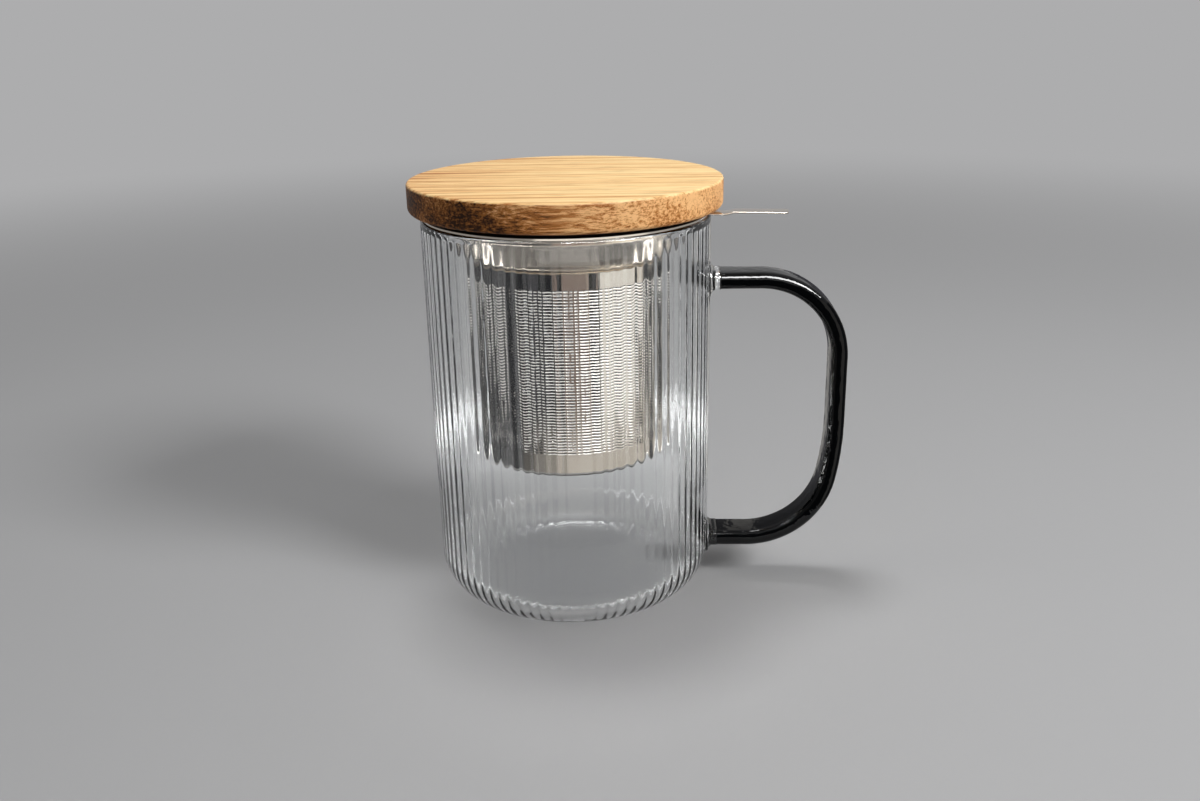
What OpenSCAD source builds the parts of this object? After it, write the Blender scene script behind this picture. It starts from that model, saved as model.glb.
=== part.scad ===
// Lidded tea mug with infuser: a clear fluted glass with a black strap handle, a steel
// infuser that hangs from its rim, and a turned wooden lid with a silicone seal.
// Millimetres. The origin is the middle of the foot, +Z is up and the handle is on +X.

/* [Mug] */
// Outside diameter of the glass
mug_d = 85; // [76:1:100]
// Height of the glass, foot to rim
mug_h = 117.5; // [104:0.5:140]
// Thickness of the wall, measured on the crest of a rib
wall_t = 2.7; // [2.2:0.1:3.5]
// Thickness of the floor
floor_t = 3.2; // [2.4:0.1:6]
// Radius of the bottom corner, outside
corner_r = 12.4; // [8:0.1:18]
// Number of flutes round the inside
flute_n = 80; // [40:1:88]
// Depth of a flute
flute_depth = 0.3; // [0.15:0.05:0.5]
// Width of a flute on the wall
flute_w = 2.3; // [1.2:0.1:2.4]
// Angle that a flute runs on for, round the bottom corner
flute_sweep = 80; // [60:1:86]
// Height of the plain band between the rim and the flutes
rim_band = 1.5; // [1:0.1:4]
// How far the plain band lies behind the bottoms of the flutes
band_step = 0.1; // [0.05:0.05:0.3]
// Radius of the fire-polished edges of the rim
rim_round = 0.8; // [0.4:0.05:1]

/* [Handle] */
// Thickness of the strap
strap_t = 5; // [4:0.1:7]
// Breadth of the strap
strap_w = 11.5; // [8:0.1:16]
// Rounding of the strap's edges
strap_round = 1.6; // [0.8:0.1:1.9]
// Reach of the strap's middle line from the wall of the glass
handle_reach = 38.9; // [36:0.1:50]
// Depth of the upper arm's middle line below the rim
upper_drop = 20.1; // [10:0.1:26]
// Height of the lower arm's middle line above the bottom corner
lower_rise = 1.4; // [0:0.1:8]
// Radius of the upper bend
upper_bend = 23.5; // [14:0.5:30]
// Radius of the lower bend
lower_bend = 28; // [14:0.5:31]
// Length of the clear weld between the wall and an arm
weld_l = 3; // [2:0.1:4.5]
// How far the foot of a weld stands out round the arm
weld_flare = 2.2; // [1:0.1:3]

/* [Infuser] */
// Thickness of the stamped steel
sheet_t = 0.5; // [0.4:0.1:0.8]
// Thickness of the etched steel
mesh_t = 0.3; // [0.2:0.05:0.4]
// How far the flange stops short of the outside of the glass
flange_inset = 0.7; // [0.2:0.1:1.4]
// Outside diameter of the basket
basket_d = 56.8; // [48:0.2:60]
// Depth of the infuser below the rim
infuser_h = 72.1; // [55:0.1:92]
// Height of the upright neck inside the rim
neck_h = 3; // [2.5:0.1:5]
// Depth of the funnel below the rim
funnel_h = 11.7; // [9:0.1:16]
// Inside radius of the bends in the steel
sheet_bend = 1; // [0.6:0.1:1.4]
// Length of the collar that the basket is welded round
collar_l = 3; // [2:0.1:5]
// Height of the basket bottom's upstand
upstand_h = 1.8; // [1.5:0.1:4]
// Number of rows of slots in the basket's wall
slot_rows = 18; // [6:1:24]
// Number of slots round the basket, of which the seam takes one
slot_n = 36; // [12:1:48]
// Height of a slot
slot_h = 1.1; // [0.5:0.1:1.6]
// Width of the bar between two slots
slot_bar = 1.3; // [0.8:0.1:2.4]
// Height of the plain band below the slots and of the one above them
slot_band = 5; // [2:0.5:12]
// Bearing of the plain strip along the welded seam
seam_turn = -121.4; // [-180:0.1:180]
// Number of rings of holes in the basket's bottom
hole_rings = 5; // [1:1:6]
// Diameter of a hole in the basket's bottom
hole_d = 1.6; // [0.8:0.1:2.4]
// Width of the plain edge round the outer ring of holes
hole_edge = 6; // [3:0.1:10]
// Width of the lifting tab
tab_w = 6; // [4:0.5:12]
// How far the tab stands out past the lid
tab_out = 18.7; // [10:0.1:30]
// Height of the step in the tab
tab_step = 0.6; // [0.2:0.1:1]
// Length of the step in the tab
tab_step_l = 2.5; // [1.5:0.1:4]
// Rounding of the tab's corners
tab_round = 1.2; // [0.4:0.1:1.9]
// Turn of the tab away from the handle
tab_turn = -7; // [-60:1:60]

/* [Lid] */
// Overhang of the lid past the glass
lid_over = 3.35; // [2:0.05:8]
// Thickness of the lid
lid_t = 8.4; // [6:0.1:14]
// Rounding of the lid's top edge
lid_top_round = 0.8; // [0.3:0.1:3]
// Rounding of the lid's bottom edge
lid_low_round = 1.6; // [0.5:0.1:2.4]
// How far the spigot reaches below the seal
spigot_foot = 1.2; // [0.6:0.1:1.6]
// Depth of the groove in the spigot
groove_depth = 1; // [0.6:0.1:1.5]
// Height of the groove in the spigot
groove_h = 1.4; // [1:0.1:1.8]

/* [Seal] */
// Thickness of the seal's flange, which keeps the lid off the steel
seal_t = 1.5; // [1:0.1:2.5]
// Breadth of the seal's body round the spigot
seal_body = 1.4; // [1:0.1:2]
// How far the seal's flange stops short of the edge of the steel
seal_inset = 2.2; // [1.2:0.1:2.4]
// How far a sealing lip stands out of the seal's body
lip_reach = 0.8; // [0.5:0.1:1.2]
// Height of each sealing lip
lip_h = 0.5; // [0.3:0.1:0.7]
// Number of sealing lips
lip_n = 2; // [1:1:3]

/* [Clearances] */
// Gap between the infuser's neck and the glass
neck_gap = 2.2; // [1.6:0.1:3]
// Gap between a sealing lip and the neck
lip_gap = 0.3; // [0.2:0.05:0.6]
// Gap between the seal and the wood
seal_fit = 0.05; // [0.02:0.01:0.15]
// Gap between the collar and the basket round it
collar_fit = 0.05; // [0.02:0.01:0.15]
// Gap between the lid's edge and the step in the tab
step_gap = 1; // [0.6:0.1:3]

/* [Hidden] */

$fn = 96;
eps = 0.01;                                  // overlap that keeps a cut clean
over = 1;                                    // how far a cut runs past the face that it opens
bend_steps = 6;                              // flats that make up a bend in the sheet

mug_r = mug_d / 2;
bore_r = mug_r - wall_t;                     // on the crests of the ribs
band_r = bore_r + flute_depth + band_step;   // in the plain band
inner_corner_r = corner_r - wall_t + flute_depth;
corner_z = floor_t + inner_corner_r;
flute_lead = 0.15;                           // how far above the corner the flutes start to turn
flute_r = (flute_w * flute_w / 4 + flute_depth * flute_depth) / (2 * flute_depth);

handle_top = mug_h - upper_drop;
handle_low = corner_r + lower_rise;
grip_top = handle_top - upper_bend;          // the straight grip lies between these heights
grip_low = handle_low + lower_bend;
weld_root = 3;                               // how deep a weld reaches before the wall cuts it

flange_top = mug_h + sheet_t;
flange_r = mug_r - flange_inset;
neck_r = bore_r - neck_gap;                  // outside of the neck
neck_low = flange_top - neck_h;
basket_r = basket_d / 2;
basket_floor = mug_h - infuser_h;
funnel_low = mug_h - funnel_h;
collar_r = basket_r - mesh_t - collar_fit;   // outside of the collar

lid_r = mug_r + lid_over;
lid_low = flange_top + seal_t;
lid_top = lid_low + lid_t;
seal_low = neck_low + lip_gap;
lip_r = neck_r - sheet_t - lip_gap;
seal_body_r = lip_r - lip_reach;
spigot_r = seal_body_r - seal_body;
spigot_low = seal_low - spigot_foot;
groove_low = (seal_low + flange_top - groove_h) / 2;

clear_glass = "#dfe8e6";
black_glass = "#101214";
steel = "#c3c5c7";
wood = "#c98d4e";
silicone = "#17181a";

// ---- shapes that several pieces share ----

// Half section of a round post from z0 to z1, with its lower and upper corners rounded.
module post_section(r, z0, z1, low, high) {
    translate([0, z0 + low]) square([r, z1 - z0 - low - high]);
    if (low > 0) {
        translate([0, z0]) square([r - low, low + eps]);
        quarter_at(r - low, z0 + low, low, -90);
    }
    if (high > 0) {
        translate([0, z1 - high - eps]) square([r - high, high + eps]);
        quarter_at(r - high, z1 - high, high, 0);
    }
}

// A quarter disc of radius r with its corner at (x, z), turned by a.
module quarter_at(x, z, r, a) {
    translate([x, z]) rotate(a) intersection() {
        circle(r);
        translate([-eps, -eps]) square(r + 2 * eps);
    }
}

// Half section of a ring from radius r0 to r1 and from z0 to z1.
module ring_section(r0, r1, z0, z1) {
    translate([r0, z0]) square([r1 - r0, z1 - z0]);
}

// A rectangle of length l along X and breadth b along Y, its corners rounded to r.
module rounded_rectangle(l, b, r) {
    square([l, b - 2 * r], center = true);
    square([l - 2 * r, b], center = true);
    for (x = [-1, 1]) for (y = [-1, 1]) translate([x * (l / 2 - r), y * (b / 2 - r)]) circle(r);
}

// Unit vector from p to q, its left normal, and the angle that a path turns at q.
function toward(p, q) = (q - p) / norm(q - p);
function left(v) = [-v.y, v.x];
function turn(p, q, r) = let (a = toward(p, q), b = toward(q, r)) atan2(a.x * b.y - a.y * b.x, a * b);

// How far before and after a corner its bend starts and ends.
function setback(pts, i, r) = r * tan(abs(turn(pts[i - 1], pts[i], pts[i + 1])) / 2);

// Points of the bend at corner i, on the line that runs off to the left of the middle line.
function bend_points(pts, i, r, off) =
    let (u = toward(pts[i - 1], pts[i]), a = turn(pts[i - 1], pts[i], pts[i + 1]), side = sign(a),
         centre = pts[i] - u * setback(pts, i, r) + left(u) * side * r)
    [for (k = [0 : bend_steps]) let (b = a * k / bend_steps)
        centre - (left(u) * cos(b) - u * sin(b)) * side * (r - side * off)];

// One edge of a bent strip, at off to the left of its middle line.
function strip_edge(pts, r, off) =
    let (n = len(pts) - 1, first = left(toward(pts[0], pts[1])), last = left(toward(pts[n - 1], pts[n])))
    concat([pts[0] + first * off],
           [for (i = [1 : n - 1]) each bend_points(pts, i, r, off)],
           [pts[n] + last * off]);

// A bent strip of sheet: a band of thickness t along the middle line pts, with every
// corner bent to the middle radius r.
module bent_strip(pts, t, r) {
    back = strip_edge(pts, r, -t / 2);
    polygon(concat(strip_edge(pts, r, t / 2), [for (i = [len(back) - 1 : -1 : 0]) back[i]]));
}

// ---- glass ----

// The glass without its room: a post with a round bottom corner and a fire-polished rim.
module glass_outside() rotate_extrude() post_section(mug_r, 0, mug_h, corner_r, rim_round);

// Half section of the room inside the glass, without its flutes.
module room_section() {
    post_section(bore_r, floor_t, mug_h + over, inner_corner_r, 0);
    ring_section(0, band_r, mug_h - rim_band, mug_h + over);
    translate([band_r, mug_h - rim_round]) difference() {
        translate([-eps, 0]) square([rim_round + eps, rim_round + over]);
        translate([rim_round, 0]) circle(rim_round);
    }
}

// One flute: down the wall and round the bottom corner towards the floor.
module flute() {
    bend = inner_corner_r + flute_lead + flute_depth - flute_r;
    turn_z = corner_z + flute_lead;
    translate([bore_r - inner_corner_r - flute_lead, 0, turn_z]) {
        translate([bend, 0, 0]) cylinder(r = flute_r, h = mug_h - rim_band - turn_z + eps);
        rotate([-90, 0, 0]) rotate_extrude(angle = flute_sweep) translate([bend, 0]) circle(flute_r);
    }
}

module mug_glass() color(clear_glass, 0.35) difference() {
    glass_outside();
    rotate_extrude() room_section();
    for (i = [0 : flute_n - 1]) rotate(i * 360 / flute_n) flute();
}

// ---- handle ----

// Section of the strap, thickness along X and breadth along Y.
module strap_section() rounded_rectangle(strap_t, strap_w, strap_round);

// A straight stretch of strap of length l, standing up from z = 0.
module straight(l) linear_extrude(l) strap_section();

// A right-angled bend of radius r, up from z = 0 and over towards -X, and the straight arm
// that runs on from it to the weld.
module bend_and_arm(r) {
    translate([-r, 0, 0]) {
        rotate([90, 0, 0]) rotate_extrude(angle = 90) translate([r, 0]) strap_section();
        translate([0, 0, r]) rotate([0, -90, 0]) straight(handle_reach - r - weld_l);
    }
}

module handle_strap() color(black_glass) translate([mug_r + handle_reach, 0, 0]) {
    translate([0, 0, grip_top]) bend_and_arm(upper_bend);
    translate([0, 0, grip_low]) {
        straight(grip_top - grip_low);
        mirror([0, 0, 1]) bend_and_arm(lower_bend);
    }
}

// Half section of a weld's edge: it follows the strap, then turns out in a hollow curve to the
// wall, and goes on into it by weld_root. Distance out of the edge along X, height off the wall on Y.
module weld_edge() {
    foot = strap_round + weld_flare;
    difference() {
        translate([0, -weld_root]) square([foot, weld_root + weld_l]);
        translate([foot, weld_flare]) circle(weld_flare);
        translate([strap_round, weld_flare]) square([foot, weld_l]);
    }
}

// The clear glass that joins an arm at height z to the wall.
module weld(z) color(clear_glass, 0.6) difference() {
    a = strap_t / 2 - strap_round;
    b = strap_w / 2 - strap_round;
    translate([mug_r, 0, z]) rotate([0, 90, 0]) {
        translate([-a, -b, -weld_root]) cube([2 * a, 2 * b, weld_root + weld_l]);
        for (side = [0, 1]) rotate(180 * side) {
            translate([a, b, 0]) rotate([90, 0, 0]) linear_extrude(2 * b) weld_edge();
            translate([-a, b, 0]) rotate([90, 0, 90]) linear_extrude(2 * a) weld_edge();
            translate([a, b, 0]) rotate_extrude(angle = 90) weld_edge();
            translate([-a, b, 0]) rotate(90) rotate_extrude(angle = 90) weld_edge();
        }
    }
    glass_outside();
}

module upper_weld() weld(handle_top);
module lower_weld() weld(handle_low);

// ---- infuser ----

// Flange, neck, funnel and collar, stamped from one sheet together with the lifting tab.
module infuser_funnel() color(steel) {
    mid = sheet_t / 2;
    rotate_extrude() bent_strip([[flange_r, flange_top - mid],
                                 [neck_r - mid, flange_top - mid],
                                 [neck_r - mid, neck_low],
                                 [collar_r - mid, funnel_low + mid],
                                 [collar_r - mid, funnel_low - collar_l]], sheet_t, sheet_bend + mid);
    lifting_tab();
}

// The tab runs out from the flange under the lid and steps up clear of the rim.
module lifting_tab() {
    mid = flange_top - sheet_t / 2;
    start = flange_r - over;
    step = lid_r + step_gap;
    reach = lid_r + tab_out;
    rotate(tab_turn) intersection() {
        translate([0, tab_w / 2, 0]) rotate([90, 0, 0]) linear_extrude(tab_w)
            bent_strip([[start, mid], [step, mid], [step + tab_step_l, mid + tab_step],
                        [reach, mid + tab_step]], sheet_t, sheet_bend + sheet_t / 2);
        translate([reach / 2, 0, 0]) linear_extrude(lid_top) rounded_rectangle(reach, tab_w, tab_round);
    }
}

// The etched sheet, rolled round and butt welded: rows of slots between two plain bands, broken
// by the plain strip along the seam.
module infuser_wall() color(steel) difference() {
    low = basket_floor + upstand_h;
    high = funnel_low - mesh_t;
    slot_w = 2 * PI * basket_r / slot_n - slot_bar;
    row_pitch = (high - low - 2 * slot_band - slot_h) / (slot_rows - 1);
    rotate_extrude() ring_section(basket_r - mesh_t, basket_r, low, high);
    for (row = [0 : slot_rows - 1], i = [1 : slot_n - 1])
        rotate(seam_turn + i * 360 / slot_n)
            translate([basket_r - mesh_t - over, -slot_w / 2, low + slot_band + row * row_pitch])
                cube([mesh_t + 2 * over, slot_w, slot_h]);
}

// The bottom disc with its upstand, and rings of 6, 12, 18 and more holes.
module infuser_base() color(steel) difference() {
    mid = mesh_t / 2;
    ring_pitch = (basket_r - hole_edge - hole_d / 2) / hole_rings;
    rotate_extrude()
        bent_strip([[0, basket_floor + mid], [basket_r - mid, basket_floor + mid],
                    [basket_r - mid, basket_floor + upstand_h]], mesh_t, sheet_bend + mid);
    for (ring = [1 : hole_rings], i = [1 : 6 * ring])
        rotate(i * 60 / ring) translate([ring * ring_pitch, 0, basket_floor - over])
            cylinder(d = hole_d, h = mesh_t + 2 * over);
}

// ---- lid ----

module lid_disc() color(wood) rotate_extrude() {
    post_section(lid_r, lid_low, lid_top, lid_low_round, lid_top_round);
    difference() {
        ring_section(0, spigot_r, spigot_low, lid_low + eps);
        ring_section(spigot_r - groove_depth, spigot_r + over, groove_low, groove_low + groove_h);
    }
}

// The seal grips the spigot, keys into its groove and lies flat on the steel flange.
module lid_seal() color(silicone) rotate_extrude() {
    lip_pitch = (flange_top - seal_low - lip_h) / lip_n;
    ring_section(spigot_r + seal_fit, seal_body_r, seal_low, lid_low);
    ring_section(seal_body_r - eps, flange_r - seal_inset, flange_top, lid_low);
    ring_section(spigot_r - groove_depth + seal_fit, spigot_r + 2 * seal_fit,
                 groove_low + seal_fit, groove_low + groove_h - seal_fit);
    for (i = [0 : lip_n - 1])
        translate([0, i * lip_pitch]) ring_section(seal_body_r - eps, lip_r, seal_low, seal_low + lip_h);
}

mug_glass();
handle_strap();
upper_weld();
lower_weld();
infuser_funnel();
infuser_wall();
infuser_base();
lid_disc();
lid_seal();
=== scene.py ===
"""Lidded tea mug with infuser: a clear fluted glass with a black strap handle, a steel infuser
that hangs from its rim, and a turned wooden lid with a silicone seal.

Metres. The origin is the middle of the foot, +Z is up and the handle is on +X.
"""

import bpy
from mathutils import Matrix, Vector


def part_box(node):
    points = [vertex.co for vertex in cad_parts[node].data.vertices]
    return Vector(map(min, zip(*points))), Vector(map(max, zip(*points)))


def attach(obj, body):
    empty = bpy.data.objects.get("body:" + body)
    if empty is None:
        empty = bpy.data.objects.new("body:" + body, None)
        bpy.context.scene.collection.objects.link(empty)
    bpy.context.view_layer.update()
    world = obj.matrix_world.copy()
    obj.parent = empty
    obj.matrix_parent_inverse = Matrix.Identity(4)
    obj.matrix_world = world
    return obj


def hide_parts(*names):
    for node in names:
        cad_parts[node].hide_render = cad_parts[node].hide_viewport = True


bl_info = {
    "name": "Lidded Tea Mug with Infuser",
    "version": (1, 0, 0),
    "blender": (4, 5, 0),
    "location": "View3D > Sidebar > Tea Mug",
    "description": "Builds a fluted glass tea mug with its strap handle, steel infuser and wooden lid",
    "category": "Add Mesh",
}

from math import radians

import bpy
import numpy as np
from bpy.props import FloatProperty, FloatVectorProperty, IntProperty, PointerProperty
from mathutils import Matrix, Vector

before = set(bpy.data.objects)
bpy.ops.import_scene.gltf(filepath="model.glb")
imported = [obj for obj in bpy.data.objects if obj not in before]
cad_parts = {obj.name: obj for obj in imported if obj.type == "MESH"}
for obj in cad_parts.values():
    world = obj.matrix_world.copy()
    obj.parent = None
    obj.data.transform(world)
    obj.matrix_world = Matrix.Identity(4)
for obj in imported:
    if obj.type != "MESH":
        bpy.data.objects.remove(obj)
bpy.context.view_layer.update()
MM = 0.001

GLASS_LOW, GLASS_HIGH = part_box("mug_glass")
STRAP_LOW, STRAP_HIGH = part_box("handle_strap")
FUNNEL_LOW, FUNNEL_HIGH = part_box("infuser_funnel")
WALL_LOW, WALL_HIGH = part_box("infuser_wall")
LID_LOW, LID_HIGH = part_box("lid_disc")
SEAL_LOW, SEAL_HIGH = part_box("lid_seal")


def linear(colour):
    """An sRGB hex colour, such as #c9c9c7, as linear red, green and blue."""
    channels = [int(colour[i:i + 2], 16) / 255 for i in (1, 3, 5)]
    return tuple(c / 12.92 if c <= 0.04045 else ((c + 0.055) / 1.055) ** 2.4 for c in channels)


# ---- sizes and colours ----

def length(label, text, value):
    """A length in metres that shows in the sidebar."""
    return FloatProperty(name=label, description=text, default=value, unit="LENGTH", precision=5)


def angle(label, text, degrees):
    """An angle that shows in the sidebar."""
    return FloatProperty(name=label, description=text, default=radians(degrees), subtype="ANGLE")


def colour(label, text, value):
    """A colour, given as sRGB hex, that shows in the sidebar."""
    return FloatVectorProperty(name=label, description=text, default=linear(value), subtype="COLOR",
                               min=0, max=1)


def strength(label, text, value):
    """The strength of a light surface, where 1 is white, that shows in the sidebar."""
    return FloatProperty(name=label, description=text, default=value, min=0)


def pointer(kind, label, text):
    """A set of properties that shows in the sidebar under its own label."""
    return PointerProperty(type=kind, name=label, description=text)


class GlassSizes(bpy.types.PropertyGroup):
    """Sizes of the fluted glass"""
    radius: length("Radius", "Outside radius of the glass", GLASS_HIGH.y)
    height: length("Height", "Height of the glass, foot to rim", GLASS_HIGH.z)
    wall: length("Wall", "Thickness of the wall on the crest of a rib", 2.7 * MM)
    floor: length("Floor", "Thickness of the floor", 3.2 * MM)
    corner: length("Corner", "Radius of the bottom corner, outside", 12.4 * MM)
    inner_corner: length("Inner corner", "Radius of the bottom corner, inside", 10 * MM)
    rim: length("Rim rounding", "Radius of the fire-polished edges of the rim", 0.8 * MM)
    band: length("Plain band", "Height of the plain band between the rim and the flutes", 1.5 * MM)
    band_step: length("Band step", "How far the plain band lies behind the crests", 0.4 * MM)
    flutes: IntProperty(name="Flutes", description="Number of flutes round the inside", default=80)
    flute_depth: length("Flute depth", "Depth of a flute, trough to crest", 0.12 * MM)
    flute_fade: length("Flute fade", "Length over which a flute runs out at the rim", 2 * MM)
    flute_start: length("Flute start", "Radius on the floor at which the flutes begin", 28.5 * MM)
    flute_full: length("Flute full", "Radius at which the flutes reach their depth", 33.5 * MM)
    columns: IntProperty(name="Columns", description="Columns of faces across one flute", default=12)
    weld_near: length("Near row", "Height from a weld's middle to the first row of points past it", 7 * MM)
    weld_far: length("Far row", "Height from a weld's middle to the second row of points", 12 * MM)


class HandleSizes(bpy.types.PropertyGroup):
    """Sizes of the strap and of the welds that carry it"""
    thickness: length("Thickness", "Thickness of the strap", 4.97 * MM)
    breadth: length("Breadth", "Breadth of the strap", STRAP_HIGH.y - STRAP_LOW.y)
    edge: length("Edge", "Rounding of the strap's edges", 2 * MM)
    top: length("Upper arm", "Height of the upper arm's middle line", STRAP_HIGH.z - 2.5 * MM)
    low: length("Lower arm", "Height of the lower arm's middle line", STRAP_LOW.z + 2.5 * MM)
    reach: length("Reach", "Distance of the grip's middle line from the axis", 81.35 * MM)
    upper_bend: length("Upper bend", "Radius of the upper bend", 24 * MM)
    bow_height: length("Bow height", "Height at which the grip turns in", 43.25 * MM)
    bow: length("Bow", "Radius on which the grip turns in", 91 * MM)
    bow_angle: angle("Bow angle", "Angle by which the grip turns in", 11.5)
    lower_bend: length("Lower bend", "Radius of the lower bend", 25.5 * MM)
    upper_seat: length("Upper seat", "Distance from the wall to the upper end of the strap", 2.5 * MM)
    lower_seat: length("Lower seat", "Distance from the wall to the lower end of the strap", 0.9 * MM)
    weld: length("Weld", "Length of the clear glass between the wall and an arm", 3 * MM)
    weld_flare: length("Weld flare", "How far the foot of a weld stands out round the arm", 2.2 * MM)
    weld_lip: length("Weld lip", "How far the clear glass laps up round the strap", 0.18 * MM)
    weld_root: length("Weld root", "How deep a weld reaches into the wall", 1.3 * MM)


class InfuserSizes(bpy.types.PropertyGroup):
    """Sizes of the funnel, its tab and the basket"""
    flange: length("Flange", "Radius of the flange that hangs on the rim", FUNNEL_HIGH.y)
    top: length("Flange top", "Height of the top of the flange", FUNNEL_HIGH.z - 0.6 * MM)
    neck: length("Neck", "Outside radius of the upright neck", 37.6 * MM)
    neck_low: length("Neck foot", "Height at which the neck turns into the funnel", 115 * MM)
    collar: length("Collar", "Height of the foot of the collar inside the basket", FUNNEL_LOW.z)
    collar_fit: length("Collar fit", "Gap between the collar and the basket", 0.05 * MM)
    shoulder_reach: length("Shoulder reach", "How far the shoulder stands out from the collar", 3.5 * MM)
    shoulder_rise: length("Shoulder height", "Height of the shoulder above the basket's wall", 2.1 * MM)
    shoulder: length("Shoulder", "Radius of the shoulder between the funnel and the collar", 8 * MM)
    sheet: length("Stamped sheet", "Thickness of the stamped steel", 0.5 * MM)
    mesh: length("Etched sheet", "Thickness of the etched steel", 0.3 * MM)
    bend: length("Bend", "Middle radius of the bends in the steel", 1.25 * MM)
    radius: length("Basket", "Outside radius of the basket", WALL_HIGH.y)
    wall_low: length("Wall foot", "Height of the foot of the rolled wall", WALL_LOW.z)
    wall_top: length("Wall top", "Height of the top of the rolled wall", WALL_HIGH.z)
    slot_low: length("First row", "Height of the lowest row of slots", 52.4 * MM)
    rows: IntProperty(name="Rows", description="Rows of slots, one above another", default=55)
    row_pitch: length("Row pitch", "Height from one row of slots to the next", 0.889 * MM)
    slot_height: length("Slot height", "Height of a slot", 0.57 * MM)
    lip_height: length("Slot lip", "Height of the etched slope on a slot's lower edge", 0.24 * MM)
    lip_depth: length("Slot lip depth", "Depth of that slope at the middle of the slot", 0.28 * MM)
    # Painted shade: deeper in the sheet than this the steel is painted dark as shade, and made matt
    matt_and_painted_shade_depth: length("Dull depth", "Depth in the sheet at which the etched matt begins", 0.18 * MM)
    slots: IntProperty(name="Slots", description="Slots round the basket", default=72)
    slot_share: FloatProperty(name="Slot share", description="Share of the way round that the slots take",
                              default=0.75, subtype="FACTOR")
    seam: angle("Seam", "Bearing of the plain strip along the welded seam", -121.4)
    tab_width: length("Tab width", "Width of the lifting tab", 6 * MM)
    tab_thickness: length("Tab thickness", "Thickness of the lifting tab", 0.48 * MM)
    tab_edge: length("Tab edges", "Rounding of the tab's long edges", 0.144 * MM)
    tab_root: length("Tab root", "How far the tab reaches into the flange", 0.2 * MM)
    tab_reach: length("Tab reach", "Distance of the tab's tip from the axis", 64.5 * MM)
    tab_step: length("Tab step", "Distance of the step in the tab from the axis", 46.85 * MM)
    tab_step_length: length("Step length", "Length of the step in the tab", 2.5 * MM)
    tab_rise: length("Step height", "Height of the step in the tab", 0.6 * MM)
    tab_round: length("Tab corners", "Rounding of the tab's corners", 1.2 * MM)
    tab_turn: angle("Tab turn", "Turn of the tab away from the handle", -7)


class LidSizes(bpy.types.PropertyGroup):
    """Sizes of the lid and its seal"""
    radius: length("Radius", "Radius of the lid", LID_HIGH.y)
    top: length("Top", "Height of the top of the lid", LID_HIGH.z)
    low: length("Underside", "Height of the underside of the lid", SEAL_HIGH.z)
    top_edge: length("Top edge", "Rounding of the lid's top edge", 0.8 * MM)
    low_edge: length("Bottom edge", "Rounding of the lid's bottom edge", 1.6 * MM)
    spigot: length("Spigot", "Radius of the spigot under the lid", 34.6 * MM)
    spigot_low: length("Spigot foot", "Height of the foot of the spigot", LID_LOW.z)
    groove_depth: length("Groove depth", "Depth of the groove in the spigot", 1 * MM)
    groove_height: length("Groove height", "Height of the groove in the spigot", 1.4 * MM)
    spigot_edge: length("Spigot edge", "Rounding of the spigot's foot", 0.6 * MM)
    groove_edge: length("Groove edges", "Rounding of the groove's edges", 0.2 * MM)
    seal_flange: length("Seal flange", "Outside radius of the seal's flange", SEAL_HIGH.y)
    seal_low: length("Seal foot", "Height of the foot of the seal", SEAL_LOW.z)
    seal_body: length("Seal body", "Breadth of the seal's body", 1.4 * MM)
    lip_reach: length("Lip reach", "How far a sealing lip stands out", 0.8 * MM)
    lip_height: length("Lip height", "Height of a sealing lip", 0.5 * MM)
    seal_thickness: length("Seal thickness", "Thickness of the seal's flange", 1.48 * MM)
    fit: length("Fit", "Gap between the seal and the spigot", 0.05 * MM)
    seal_gap: length("Seal gap", "Gap between the seal's flange and the underside of the lid", 0.01 * MM)
    seal_crease: length("Seal creases", "Rounding of the seal's inner and hollow corners", 0.1 * MM)
    seal_lip_edge: length("Lip edges", "Rounding of the edges of the sealing lips", 0.2 * MM)
    seal_flange_edge: length("Flange edges", "Rounding of the seal's flange", 0.3 * MM)


class Colours(bpy.types.PropertyGroup):
    """Colours of the pieces and of the stage"""
    glass: colour("Clear glass", "Tint of the clear glass", "#fdfefe")
    glass_shadow: colour("Glass shadow", "Tint of the light that falls through the glass", "#fafafa")
    strap: colour("Black glass", "Colour of the handle", "#050607")
    steel: colour("Polished steel", "Colour of the polished basket", "#cbc8c3")
    # Painted shade: the dark colour of the inside of the basket stands in for the shade within it
    etched_with_painted_shade: colour("Etched steel", "Colour of the etched inside of the basket", "#45423f")
    satin: colour("Satin steel", "Colour of the stamped funnel", "#d9cfc2")
    wood_pale: colour("Top", "Pale wood of the lid's top", "#fcdca2")
    wood_mid: colour("Grain", "Grain of the lid's top", "#f2c487")
    wood_dark: colour("Streaks", "Reddish streaks in the lid's top", "#b97841")
    wood_pore: colour("Pores", "Oiled pores of the wood", "#8f5a2d")
    # Painted shade in part: the edge colours are darker than the top's, partly from oil and partly as shade
    # on the upright edge
    edge_pale: colour("Edge", "Pale fibres on the lid's edge", "#f5c084")
    edge_mid: colour("Edge grain", "Chestnut grain on the lid's edge", "#b87336")
    edge_dark: colour("Edge fibres", "Dark, oil-soaked fibres on the lid's edge", "#382214")
    silicone: colour("Silicone", "Colour of the seal", "#1a1a1c")
    table: colour("Table", "Colour of the floor", "#a6a6a7")
    backdrop: colour("Backdrop", "Colour of the backdrop", "#adadae")
    card_foot: colour("Card foot", "Colour of the cards low down in front", "#d6cec4")
    light: colour("Light", "Colour of the panels, the strip and the even light all round", "#ffffff")


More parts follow.
